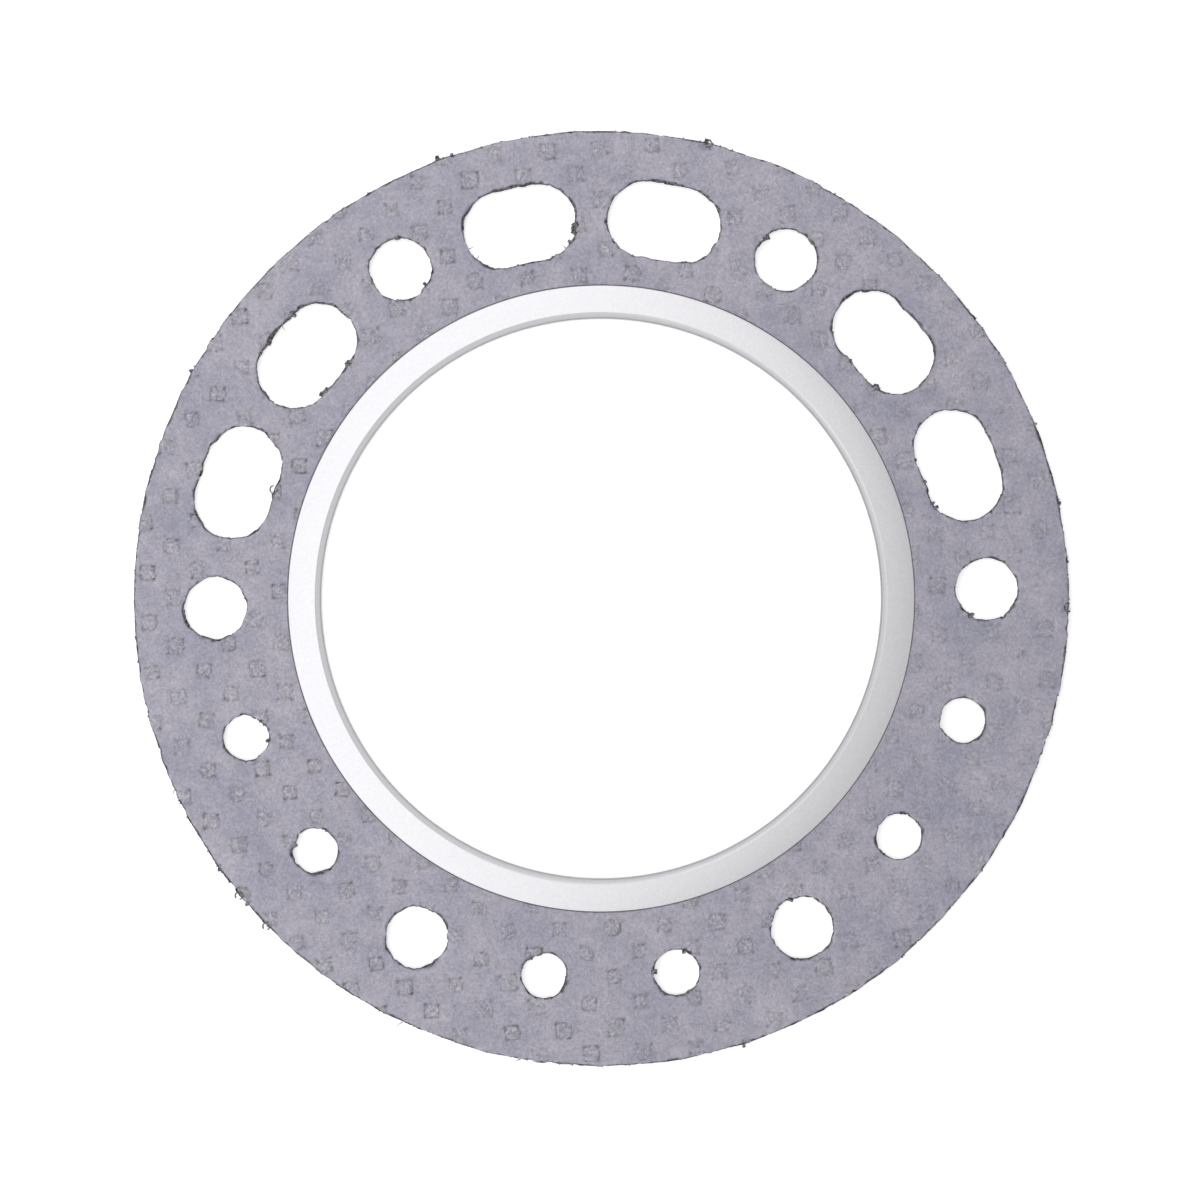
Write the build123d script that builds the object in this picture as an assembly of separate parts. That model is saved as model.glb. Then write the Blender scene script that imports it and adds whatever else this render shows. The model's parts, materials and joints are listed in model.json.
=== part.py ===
"""Cylinder head gasket of a single-cylinder, water-cooled diesel engine.

Two pressed fibre facings are clinched to a thin tanged steel core. A folded sheet-metal eyelet, the fire ring, wraps
the edge of the sandwich round the cylinder bore. The gasket lies flat. The origin is on the axis of the cylinder
bore, at the lower face of the fire ring. +Z is up, and +Y is the symmetry axis of the hole pattern, on the side of
the large coolant slots.
"""
from build123d import *
from collections import namedtuple
from math import atan2, ceil, cos, degrees, hypot, radians, sin, sqrt
import os

# Body, in millimetres as everything below
body_diameter = 196.0
facing_thickness = 0.6
core_thickness = 0.25

# Fire ring
cylinder_bore = 117.0  # clear diameter inside the fold
flange_width = 7.0  # from the edge of the bore
ring_wall = 0.25
fold_radius = 0.7  # outside radius of the two bends of the fold
bend_facets = 3  # flats to each bend, which keep within 0.03 mm of a true arc
fold_gap = 0.1  # from the bends to the edge of the sandwich

# Stud holes
stud_count = 6
stud_circle_diameter = 161.4
stud_hole_diameter = 13.0

# Coolant slots, a pair in each gap between studs on the +Y side
slot_circle_diameter = 159.8
slot_width = 16.0
slot_length = 23.8
slot_angle = 10.9  # degrees from the middle of the gap

# Coolant holes, a pair in each gap between studs on the -Y side
coolant_circle_diameter = 159.6
coolant_hole_diameter = 9.5
coolant_hole_angle = 10.0  # degrees from the middle of the gap

# Tangs, a centred rectangular pattern that lies slightly askew to the holes
tang_pitch_x = 11.0
tang_pitch_y = 10.5
tang_turn = 1.4  # degrees
tang_origin = (4.4, -0.4)  # one site of the pattern
tang_window = 3.0  # side of the square window in the core
tang_clearance = 0.1  # round the tangs, in the facings
tang_edge_margin = 1.0  # from a tang to the nearest cut edge or to the fire ring

# Levels, from the lower face of the fire ring
core_z = ring_wall + facing_thickness
core_top_z = core_z + core_thickness
body_top_z = core_top_z + facing_thickness
ring_top_z = body_top_z + ring_wall

# Radii
body_radius = body_diameter / 2
bore_radius = cylinder_bore / 2
flange_radius = bore_radius + flange_width
sheet_bore_radius = bore_radius + fold_radius + fold_gap

# A cut is round, or swept along its pitch circle by the same angle to both sides
Cut = namedtuple("Cut", "angle pitch_radius radius half_sweep")
Site = namedtuple("Site", "x y points_up")


def polar(radius, angle):
    """The point at a radius and an angle in degrees from +X."""
    return radius * cos(radians(angle)), radius * sin(radians(angle))


def paired_angles(gaps, offset):
    """Angles of the holes that stand in pairs in some of the gaps between studs."""
    middles = [(gap + 0.5) * 360 / stud_count for gap in gaps]
    return [middle + side * offset for middle in middles for side in (-1, 1)]


def body_cuts():
    """Every stud hole, coolant slot and coolant hole through the sandwich."""
    slot_pitch_radius = slot_circle_diameter / 2
    slot_half_sweep = degrees((slot_length - slot_width) / 2 / slot_pitch_radius)
    slot_gaps = range(stud_count // 2)
    hole_gaps = range(stud_count // 2, stud_count)
    studs = [Cut(360 * index / stud_count, stud_circle_diameter / 2, stud_hole_diameter / 2, 0)
             for index in range(stud_count)]
    slots = [Cut(angle, slot_pitch_radius, slot_width / 2, slot_half_sweep)
             for angle in paired_angles(slot_gaps, slot_angle)]
    holes = [Cut(angle, coolant_circle_diameter / 2, coolant_hole_diameter / 2, 0)
             for angle in paired_angles(hole_gaps, coolant_hole_angle)]
    return studs + slots + holes


def cut_outline(cut):
    """Outline of one cut, as a face on the XY plane."""
    if cut.half_sweep == 0:
        return Pos(*polar(cut.pitch_radius, cut.angle)) * Circle(cut.radius)
    centre_line = CenterArc((0, 0), cut.pitch_radius, cut.angle - cut.half_sweep, 2 * cut.half_sweep)
    return SlotArc(centre_line, 2 * cut.radius)


def gap_to_cut(x, y, cut):
    """Distance from a point to the edge of a cut."""
    turn = (degrees(atan2(y, x)) - cut.angle + 180) % 360 - 180
    along = max(-cut.half_sweep, min(cut.half_sweep, turn))
    centre_x, centre_y = polar(cut.pitch_radius, cut.angle + along)
    return hypot(x - centre_x, y - centre_y) - cut.radius


def tang_sites(cuts):
    """Sites of the tang pattern that clear the fire ring and every cut edge."""
    corner_reach = (tang_window / 2 + core_thickness + tang_clearance) * sqrt(2)
    room = corner_reach + tang_edge_margin
    reach_x = ceil(body_radius / tang_pitch_x) + 1
    reach_y = ceil(body_radius / tang_pitch_y) + 1
    turn_cos, turn_sin = polar(1, tang_turn)
    sites = []
    for points_up in (True, False):
        shift = 0 if points_up else 0.5
        for column in range(-reach_x, reach_x + 1):
            for row in range(-reach_y, reach_y + 1):
                along = (column + shift) * tang_pitch_x
                across = (row + shift) * tang_pitch_y
                x = tang_origin[0] + along * turn_cos - across * turn_sin
                y = tang_origin[1] + along * turn_sin + across * turn_cos
                in_ring = flange_radius + room <= hypot(x, y) <= body_radius - room
                if in_ring and all(gap_to_cut(x, y, cut) >= room for cut in cuts):
                    sites.append(Site(x, y, points_up))
    return sites


def windows(sites, side):
    """Square windows at the sites, as faces on the XY plane."""
    square = Rot(0, 0, tang_turn) * Rectangle(side, side)
    return [Pos(site.x, site.y) * square for site in sites]


def tang_crown():
    """The four pointed tangs round one window, standing on the XY plane and as tall as a facing is thick."""
    outside = tang_window + 2 * core_thickness
    upright = (Align.CENTER, Align.CENTER, Align.MIN)
    collar = Box(outside, outside, facing_thickness, align=upright)
    collar -= Box(tang_window, tang_window, facing_thickness, align=upright)
    gable = Polygon((-outside / 2, 0), (outside / 2, 0), (0, facing_thickness), align=None)
    ridge = extrude(Plane.XZ * gable, outside / 2, both=True)
    return collar & (ridge + Rot(0, 0, 90) * ridge)


def sheet(outline, thickness, level):
    """A flat sheet of one outline, with its lower face at a level."""
    return Pos(0, 0, level) * extrude(outline, thickness)


def make_core(outline, sites):
    """Steel sheet with a window at each site, whose tangs are folded up or down by turns."""
    crown = Rot(0, 0, tang_turn) * tang_crown()
    crown_down = Rot(180, 0, 0) * Rot(0, 0, -tang_turn) * tang_crown()
    crowns = [Pos(site.x, site.y, core_top_z) * crown if site.points_up
              else Pos(site.x, site.y, core_z) * crown_down for site in sites]
    windowed_sheet = sheet(outline - windows(sites, tang_window), core_thickness, core_z)
    return windowed_sheet.fuse(Compound(crowns), glue=True)


def make_facing(outline, sites, level):
    """Fibre sheet with a passage for the tangs at each site that points into it."""
    passage = tang_window + 2 * core_thickness + 2 * tang_clearance
    return sheet(outline - windows(sites, passage), facing_thickness, level)


def strip_side(radius):
    """Corners of one face of the folded strip in section, from its lower flange round the bore to its upper flange."""
    centre_x = bore_radius + fold_radius
    centre_heights = (fold_radius, ring_top_z - fold_radius)
    turns = [90 * step / bend_facets for step in range(bend_facets + 1)]
    lower_bend = [(centre_x - radius * sin(radians(turn)), centre_heights[0] - radius * cos(radians(turn)))
                  for turn in turns]
    upper_bend = [(centre_x - radius * cos(radians(turn)), centre_heights[1] + radius * sin(radians(turn)))
                  for turn in turns]
    lower_edge = (flange_radius, centre_heights[0] - radius)
    upper_edge = (flange_radius, centre_heights[1] + radius)
    return [lower_edge, *lower_bend, *upper_bend, upper_edge]


def make_fire_ring():
    """Eyelet of one strip, folded in a U round the edge of the sandwich and closed flat on both facings."""
    outside = strip_side(fold_radius)
    inside = strip_side(fold_radius - ring_wall)
    section = Polygon(*outside, *reversed(inside), align=None)
    return revolve(Plane.XZ * section, Axis.Z)


cuts = body_cuts()
sites = tang_sites(cuts)
outline = Circle(body_radius) - Circle(sheet_bore_radius) - [cut_outline(cut) for cut in cuts]
nodes = {
    "fire_ring": make_fire_ring(),
    "upper_facing": make_facing(outline, [site for site in sites if site.points_up], core_top_z),
    "tanged_core": make_core(outline, sites),
    "lower_facing": make_facing(outline, [site for site in sites if not site.points_up], ring_wall),
}

os.makedirs("parts", exist_ok=True)
for name, solid in nodes.items():
    solid.label = name
    export_step(solid, f"parts/{name}.step")
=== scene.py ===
"""Dresses the cylinder head gasket: its two fibre facings, its tanged steel core and its tinned fire ring.

Lengths are in metres, as everywhere in Blender, unless a comment says otherwise. A size that is best read in
millimetres is written as a number times MM. The gasket lies flat, with the cylinder bore's axis along Z and
the large coolant slots on the +Y side.
"""

import json
from collections import namedtuple
from math import atan2, cos, degrees, exp, hypot, pi, radians, sin
from random import Random

import bmesh
import bpy
from bpy.props import FloatProperty, FloatVectorProperty, PointerProperty
from mathutils import Matrix, Vector, noise


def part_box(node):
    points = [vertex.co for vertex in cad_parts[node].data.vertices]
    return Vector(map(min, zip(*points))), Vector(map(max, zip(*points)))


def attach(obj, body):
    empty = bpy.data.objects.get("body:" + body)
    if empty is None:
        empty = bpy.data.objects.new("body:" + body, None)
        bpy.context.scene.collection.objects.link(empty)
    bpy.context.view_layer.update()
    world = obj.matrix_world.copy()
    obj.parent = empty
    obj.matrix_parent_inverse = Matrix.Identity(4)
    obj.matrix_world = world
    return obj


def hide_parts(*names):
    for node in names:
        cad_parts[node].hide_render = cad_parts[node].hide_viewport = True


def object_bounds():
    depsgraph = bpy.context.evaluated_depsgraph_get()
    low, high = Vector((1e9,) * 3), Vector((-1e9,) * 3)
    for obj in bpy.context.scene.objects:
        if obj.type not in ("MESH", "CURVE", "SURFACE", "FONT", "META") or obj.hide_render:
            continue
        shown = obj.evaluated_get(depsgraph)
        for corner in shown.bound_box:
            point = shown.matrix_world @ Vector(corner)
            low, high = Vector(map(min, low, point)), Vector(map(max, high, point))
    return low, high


bl_info = {
    "name": "Cylinder head gasket",
    "version": (1, 0, 0),
    "blender": (4, 5, 0),
    "location": "3D View > Sidebar > Gasket",
    "description": "Dresses a tanged head gasket round its CAD frame",
    "category": "Object",
}

MM = 0.001

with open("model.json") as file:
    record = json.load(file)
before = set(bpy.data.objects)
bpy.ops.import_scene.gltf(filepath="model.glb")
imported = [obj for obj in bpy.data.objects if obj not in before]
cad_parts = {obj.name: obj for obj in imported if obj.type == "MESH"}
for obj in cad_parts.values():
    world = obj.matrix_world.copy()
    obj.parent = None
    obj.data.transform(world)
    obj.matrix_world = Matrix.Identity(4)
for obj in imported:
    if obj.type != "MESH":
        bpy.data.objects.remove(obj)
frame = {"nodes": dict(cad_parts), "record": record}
cad_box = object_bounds()
mounts = {mount["name"]: mount for mount in frame["record"]["mounts"]}

# Levels and radii that the frame gives
ring_low, ring_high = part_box("fire_ring")
upper_low, upper_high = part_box("upper_facing")
lower_low, lower_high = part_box("lower_facing")
BODY_RADIUS = upper_high.x
FLANGE_RADIUS = ring_high.x
BORE_RADIUS = mounts["cylinder_bore"]["dims"]["r_mm"] * MM
STUD_PITCH_RADIUS = mounts["head_studs"]["dims"]["pcd_mm"] / 2 * MM
STUD_HOLE_RADIUS = mounts["head_studs"]["dims"]["hole_r_mm"] * MM
STUD_COUNT = mounts["head_studs"]["dims"]["count"]

FOLD_AND_GAP = 0.8 * MM  # between the bore and the edge of the facings
SHEET_BORE_RADIUS = BORE_RADIUS + FOLD_AND_GAP
RING_WALL = ring_high.z - upper_high.z

MERGE = 0.001 * MM  # vertices nearer than this are made one
ON_EDGE = 0.01 * MM  # vertices of the core's solid nearer than this to a nominal edge lie on it

# Cut edges: the core is torn about its nominal edge, and the facings are chipped back from the core
Tear = namedtuple("Tear", "length depth")
FLAT = Tear(4.2, 0.45)  # lengths in millimetres, depths in shares of the deepest tear
DENT = Tear(1.1, 0.55)
TOOTH = Tear(0.5, 0.45)
NICK = Tear(0.9, 0.8)
NICK_LEVEL = 0.88  # of the noise, past which there is a nick
TEAR_SHIFT = 0.2  # taken off, so that the edge keeps its nominal place on average
CORE_TEAR = 0.24 * MM
FACING_CHIP = 0.28 * MM
LOOSE_LUMP = 0.25 * MM  # how far the edge stands out where it runs through a tang window
LEAST_CHIP = 0.1  # in shares of FACING_CHIP, as the two below
MIDDLE_CHIP = 0.4
CHIP_TEAR = 0.5
CHIP_LENGTH = 0.8  # of the chips at a tang window, in millimetres
LEDGE = 1.3 * MM  # how far the facing is broken back at its worst
LEDGES = ((5, 0.2, 1), (1.7, 0.25, 0.7))  # length in millimetres, level of the noise that starts one, share
EDGE_BAND = 0.85 * MM  # from the nominal edge to the outline of the flat sheet
EDGE_SPACING = 0.32 * MM  # between the vertices of a cut edge
RIM_ROOM = 0.35 * MM  # for the rounded rim, between the cut edge and the flat sheet
TORN_REACH = 0.08 * MM  # vertices of the core nearer than this to a nominal edge are torn
BOX_MARGIN = 0.02 * MM

# Flat sheet of a facing
FLANGE_BAND = 0.4 * MM  # from the fire ring's flange to the outline of the flat sheet
FLANGE_SPACING = 0.8 * MM  # between the vertices of that outline
FLANGE_REACH = 3 * MM  # edges nearer than this to the flange belong to it and to no cut
GRID_MARGIN = 0.1 * MM  # between the ruled grid and the outlines
WAVES = ((14, 0.012), (3.5, 0.006))  # length and height of its waviness, in millimetres
WAVE_DROP = 0.012  # in millimetres, which keeps the crests down

# Rims of a facing, from the flat sheet on: where each lies, its drop below the face, and its tone, which is a
# painted shade where it is below 0
# Under the flange the tone is a painted shade, darkest in the pressed groove along the flange's edge
UNDER_FLANGE = (  # by radius, with a pressed groove along the flange's edge
    (FLANGE_RADIUS + 0.2 * MM, 0.03 * MM, -0.1), (FLANGE_RADIUS + 0.02 * MM, 0.16 * MM, -0.9),
    (FLANGE_RADIUS - 1 * MM, 0.12 * MM, -0.5), (SHEET_BORE_RADIUS + 1 * MM, 0.12 * MM, -0.5),
    (SHEET_BORE_RADIUS, 0.34 * MM, -0.5),
)
# At a cut rim the tone is a painted shade at the cut edge, with a slight lightening just inside it
CUT_RIMS = ((0.3 * MM, 0.01 * MM, 0.1), (0, 0.09 * MM, -0.6))  # by distance from the cut edge
RIM_TEAR_TONE = 0.5  # how far the tears show in the tone of a cut rim
RIM_MARK_TONE = 0.4  # how far the tang marks do
# Painted shade on the facing's walls down to the core
WALL_SHADE = -0.7

# Torn bits
TANG_SHARE = 0.7  # of their height in the solid, which ends the tangs just under the facings' surface
CORE_SEED = 31
BURR_SHARE = 0.07  # of the vertices of the core's upper edge, away from the tang windows
BURR_SIZES = (0.22, 0.5)  # in millimetres
BURR_TURN = 70  # how far a burr points aside, in degrees
FLAKE_SIDES = (5, 6, 7)
FLAKE_REACHES = (0.6, 1.15)  # of its corners, in shares of half its size
FLAKE_NARROWING = 0.7
FLAKE_WALLS = (0.08, 0.16)  # in millimetres
FLAKE_BEND = 0.04  # in millimetres, up or down at each corner
FLAKE_TILTS = (-0.5, 0.1)
STRIP_WALL = 0.28 * MM
CURL_STEPS = 12
CURL_WIDTH = 0.7  # in shares of its size
CURL_SWEEPS = (150, 250)  # in degrees
CURL_TILTS = (-0.3, 0.3)
ROLL_HEIGHT = 0.7 * MM
ROLL_SWEEP = radians(300)
STRAND_SIDES = 5
STRAND_CUTS = 4
STRAND_RADII = (0.11 * MM, 0.04 * MM)  # at its root and its tip
STRAND_BEND = 0.35 * MM
STRAND_TILTS = (-0.2, 0.1)
BIT_SINK = 0.04 * MM  # of a torn bit's middle, below the upper face

# Fire ring
FOLD_WIDTH = 1.4 * MM  # from the bore to the crease where the fold meets the flange
FOLD_START = radians(50)  # how steeply the fold sets off at the crease, before it is drawn out flatter
FOLD_STEPS = 24
RING_STEPS = 300
FLANGE_FALL = 0.07 * MM  # towards the flange's edge
FLANGE_STEPS = 6
FLANGE_CHAMFER = 0.09 * MM

# Faces that meet at more than this angle are shaded with a crease between them
SHEET_CREASE = radians(38)
FOLD_CREASE = radians(10)

# Key lights, by name and azimuth
KEYS = {"key_behind": radians(110), "key_in_front": radians(225)}
KEY_ELEVATION = radians(33)
KEY_DISTANCE = 0.5
KEY_SIZE = (0.22, 0.4)

# How bright the metal sees the room, by the sine of the elevation
ROOM_TONES = ((0.0, 0.15), (0.2, 0.18), (0.42, 0.75), (0.85, 0.75), (0.98, 0.52))

FLOOR_REACH = 4
PAPER_LIFT = 0.45  # light that the paper adds of its own, for the camera only
CAMERA_OFFSET = (-0.25 * MM, -0.3 * MM)

# Lines that rule a facing, from the middle of a tang mark, close together where its rim lies
FINE_LINES = (-2.15, -1.74, -1.52, -1.3, -0.9, -0.3, 0.3, 0.9, 1.3, 1.52, 1.74, 2.15)
COARSE_LINES = (-2.2, -1.7, -1.4, -0.6, 0.6, 1.4, 1.7, 2.2)

# Parts of a tang mark: where they lie, in half widths of the mark or, for a lobe, in millimetres, their width
# and height in millimetres, and how much they lighten the facing, where below 0 a painted shade in the groove
# and the pits
Part = namedtuple("Part", "place width height tone")
GROOVE = Part(1.1, 0.17, -0.09, -0.6)
LOBE = Part(1.12, 0.55, 0.14, 0)
PIT = Part(1, 0.3, -0.12, -0.55)
SPOT_HEIGHT, SPOT_TONE = 0.05, 0.5
PAD_EDGE, PAD_STEEPNESS, PAD_TONE = 0.97, 20, 0.02
WRINKLE_EDGE, WRINKLE_STEEPNESS = 1.08, 22
MARK_REACH = 1.9  # in half widths, where a mark has faded out
HIGHEST_MARK = 0.19  # in millimetres, so that no mark stands out past the fire ring
MARK_SHIFT = 0.15  # in millimetres and radians, off its site
WARP, WARP_LENGTH = 0.16, 0.9  # of a mark's outline, in millimetres
WARP_SEED = 5
WHOLE, BREAKS, BREAK_LENGTH = 0.5, 1.2, 0.7  # how whole its groove is, how that varies, and over what length
PRESS_FADE = 0.45  # how much weaker the marks are on the +X side
FADE_COLUMNS = 14  # half pitches from the middle, over which they fade

SECTOR = radians(25)  # no place in the sheet lies further round the bore than this from its nearest cut

# A cut is round, or swept along its pitch circle by the same angle to both sides
Cut = namedtuple("Cut", "angle pitch_radius radius half_sweep")
# A spot in a tang mark: its place, radius and tone
Spot = namedtuple("Spot", "x y radius tone")
# A tang mark: how it lies off its site, half its width, how square its corners are, how high its four lobes
# and how deep its corner pits are, its spots, how far its middle is raised, how dark the painted shade in its
# groove is, and how strong it is as a whole
Mark = namedtuple("Mark", "x y turn half corner sides pits spots pad outline strength")
# A torn bit at an edge: where it sits, which way it points, and how big it is, in millimetres and degrees
Bit = namedtuple("Bit", "x y turn size")

# Strip curled up where the rim and the cuts run through tang windows
CURLS = (
    Bit(24.0, 93.6, 75, 1.3), Bit(-2.4, 78.2, 20, 1.4), Bit(-2.9, 76.3, 320, 1.1),
    Bit(-51.5, 50.4, 210, 1.3), Bit(-56.3, 44.9, 230, 1.0), Bit(36.6, 74.2, 200, 1.4),
    Bit(-34.6, 66.2, 310, 1.0), Bit(10.2, -78.4, 180, 1.3), Bit(38.4, -64.9, 340, 1.1),
    Bit(58.6, 42.7, 140, 1.4), Bit(27.6, -94.4, 286, 1.0), Bit(70.5, 17.4, 200, 1.0),
)
# Strip rolled to a ring
ROLLS = (
    Bit(97.0, -4.2, 0, 1.9), Bit(-66.5, 24.0, 30, 1.6), Bit(-76.0, -59.3, 218, 1.6),
    Bit(-70.5, -65.7, 223, 1.5), Bit(24.1, 92.6, 75, 1.6),
)
# Flat chips of core and facing that were lifted by the cut
FLAKES = (
    Bit(-31.6, 91.9, 109, 2.0), Bit(-28.6, 92.3, 107, 1.5), Bit(-83.6, 49.2, 149, 1.5),
    Bit(-75.9, -62.2, 219, 1.4), Bit(-80.6, -54.3, 214, 1.4), Bit(58.9, 43.4, 70, 2.2),
    Bit(52.6, 47.7, 222, 1.2), Bit(-16.8, -73.9, 60, 1.2), Bit(-66.5, -49.5, 30, 1.5),
    Bit(15.6, -73.9, 70, 1.7), Bit(76.7, -6.2, 215, 1.8), Bit(-70.4, -28.0, 10, 1.4),
    Bit(-4.3, 74.5, 300, 1.4), Bit(-57.0, 44.0, 40, 1.5), Bit(70.9, 18.9, 190, 1.2),
    Bit(-51.0, 49.9, 30, 2.1), Bit(-52.3, 51.2, 120, 1.8), Bit(-63.6, 61.8, 140, 2.0),
    Bit(-64.6, 60.9, 40, 1.0), Bit(-69.3, 56.2, 60, 1.4), Bit(-70.0, 53.1, 80, 1.2),
    Bit(-40.8, 76.1, 5, 1.6), Bit(66.4, 27.4, 110, 1.0), Bit(68.0, 22.6, 105, 1.2),
    Bit(92.1, 34.4, 20, 0.9), Bit(96.6, 17.6, 100, 1.2), Bit(97.2, 5.3, 10, 1.0), Bit(-1.6, 77.2, 90, 1.9),
)
# Loose strands that stick out into a hole or past the rim
STRANDS = (
    Bit(-25.1, 74.2, 10, 1.2), Bit(-23.7, 72.3, 40, 1.0), Bit(-5.8, 73.6, 120, 1.0),
    Bit(-90.0, -37.7, 240, 1.5), Bit(-43.6, -87.4, 205, 1.8), Bit(-19.3, -96.3, 190, 1.5),
    Bit(-8.3, -80.6, 30, 1.1), Bit(-65.2, 58.6, 290, 1.4),
)


def linear(hex_colour):
    """An sRGB colour written as hex, turned to linear."""
    channels = [int(hex_colour[index:index + 2], 16) / 255 for index in (1, 3, 5)]
    return (*(value / 12.92 if value <= 0.04045 else ((value + 0.055) / 1.055) ** 2.4
              for value in channels), 1)


class GasketSizes(bpy.types.PropertyGroup):
    """Sizes of the cuts and the tang pattern."""
    slot_pitch_radius: FloatProperty(
        name="Slot pitch radius", description="From the bore's axis to the middle of a coolant slot",
        default=79.9 * MM, unit="LENGTH", precision=5)
    slot_half_width: FloatProperty(
        name="Slot half width", description="Radius of the round ends of a coolant slot",
        default=8 * MM, unit="LENGTH", precision=5)
    slot_half_run: FloatProperty(
        name="Slot half run", description="From the middle of a slot to the centre of its round end",
        default=3.9 * MM, unit="LENGTH", precision=5)
    slot_angle: FloatProperty(
        name="Slot angle", description="From the middle of the gap between two studs to a slot",
        default=radians(10.9), subtype="ANGLE")
    hole_pitch_radius: FloatProperty(
        name="Coolant hole pitch radius", description="From the bore's axis to a round coolant hole",
        default=79.8 * MM, unit="LENGTH", precision=5)
    hole_radius: FloatProperty(
        name="Coolant hole radius", description="Radius of a round coolant hole",
        default=4.75 * MM, unit="LENGTH", precision=5)
    hole_angle: FloatProperty(
        name="Coolant hole angle", description="From the middle of the gap between two studs to a hole",
        default=radians(10), subtype="ANGLE")
    tang_pitch: FloatVectorProperty(
        name="Tang pitch", description="Spacing of the tang windows along and across the pattern",
        size=2, default=(11 * MM, 10.5 * MM), unit="LENGTH", precision=5)
    tang_origin: FloatVectorProperty(
        name="Tang origin", description="One site of the tang pattern",
        size=2, default=(4.4 * MM, -0.4 * MM), unit="LENGTH", precision=5)
    tang_turn: FloatProperty(
        name="Tang turn", description="How far the tang pattern lies askew to the holes",
        default=radians(1.4), subtype="ANGLE")


class GasketFinish(bpy.types.PropertyGroup):
    """Colours of the gasket's materials."""
    fibre_shade: FloatVectorProperty(
        name="Fibre shade", description="The darker colour of the facings' mottling",
        size=4, subtype="COLOR", min=0, max=1, default=linear("#A3A2B4"))
    fibre_light: FloatVectorProperty(
        name="Fibre light", description="The lighter colour of the facings' mottling",
        size=4, subtype="COLOR", min=0, max=1, default=linear("#BEB9C4"))
    steel: FloatVectorProperty(
        name="Core steel", description="Colour of the core where it is bare",
        size=4, subtype="COLOR", min=0, max=1, default=linear("#8E8C92"))
    tin: FloatVectorProperty(
        name="Tin", description="Colour of the tinned fire ring",
        size=4, subtype="COLOR", min=0, max=1, default=linear("#E6E5E8"))


class GasketStage(bpy.types.PropertyGroup):
    """The camera and the studio light."""
    camera_height: FloatProperty(
        name="Camera height", description="From the floor straight up to the camera",
        default=0.65, unit="LENGTH")
    view_width: FloatProperty(
        name="View width", description="What the picture takes in at floor level",
        default=0.2516, unit="LENGTH")
    camera_turn: FloatProperty(
        name="Camera turn", description="How far the gasket looks turned in the picture",
        default=radians(1.4), subtype="ANGLE")
    softbox_size: FloatVectorProperty(
        name="Softbox size", description="Width and depth of the softbox",
        size=2, default=(0.45, 0.9), unit="LENGTH")
    softbox_height: FloatProperty(
        name="Softbox height", description="From the floor up to the softbox",
        default=0.95, unit="LENGTH")
    softbox_reach: FloatProperty(
        name="Softbox reach", description="How far the softbox reaches past the bore's axis",
        default=0.075, unit="LENGTH")
    softbox_azimuth: FloatProperty(
        name="Softbox azimuth", description="The side on which the softbox hangs",
        default=radians(165), subtype="ANGLE")
    softbox_strength: FloatProperty(
        name="Softbox strength", description="Brightness of the softbox as the metal reflects it",
        default=0.89, min=0)
    key_strength: FloatProperty(
        name="Key strength", description="Brightness of the small key lights that rake over the facing",
        default=3.05, min=0)
    room_strength: FloatProperty(
        name="Room strength", description="Light from the white room all round",
        default=0.6, min=0)


# ---------------------------------------------------------------- sizes and outlines

def polar(radius, angle):
    """The point at a radius and an angle in radians from +X."""
    return radius * cos(angle), radius * sin(angle)


def paired_angles(gaps, offset):
    """Angles of the cuts that stand in pairs in some of the gaps between studs."""
    middles = [(gap + 0.5) * 2 * pi / STUD_COUNT for gap in gaps]
    return [middle + side * offset for middle in middles for side in (-1, 1)]


def body_cuts(sizes):
    """Every stud hole, coolant slot and coolant hole through the sandwich."""
    half_sweep = sizes.slot_half_run / sizes.slot_pitch_radius
    studs = [Cut(index * 2 * pi / STUD_COUNT, STUD_PITCH_RADIUS, STUD_HOLE_RADIUS, 0)
             for index in range(STUD_COUNT)]
    slots = [Cut(angle, sizes.slot_pitch_radius, sizes.slot_half_width, half_sweep)
             for angle in paired_angles(range(STUD_COUNT // 2), sizes.slot_angle)]
    holes = [Cut(angle, sizes.hole_pitch_radius, sizes.hole_radius, 0)
             for angle in paired_angles(range(STUD_COUNT // 2, STUD_COUNT), sizes.hole_angle)]
    return studs + slots + holes


def nearest_edge(x, y, cuts):
    """The nearest cut, None for the outer edge, the distance to it, and the way from it into the sheet."""
    radius = hypot(x, y)
    found = BODY_RADIUS - radius
    inward = (-x / radius, -y / radius)
    nearest = None
    azimuth = atan2(y, x)
    for cut in cuts:
        turn = (azimuth - cut.angle + pi) % (2 * pi) - pi
        if abs(turn) > SECTOR:
            continue
        along = max(-cut.half_sweep, min(cut.half_sweep, turn))
        centre_x, centre_y = polar(cut.pitch_radius, cut.angle + along)
        reach = hypot(x - centre_x, y - centre_y)
        if reach - cut.radius < found:
            found = reach - cut.radius
            inward = ((x - centre_x) / reach, (y - centre_y) / reach)
            nearest = cut
    return nearest, found, inward


def draw_circle(bm, radius, centre=(0, 0), spacing=EDGE_SPACING):
    """A closed loop of edges."""
    segments = round(2 * pi * radius / spacing)
    loop = bmesh.ops.create_circle(bm, cap_ends=False, segments=segments, radius=radius,
                                   matrix=Matrix.Translation((*centre, 0)))
    return list(dict.fromkeys(edge for vert in loop["verts"] for edge in vert.link_edges))


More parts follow.
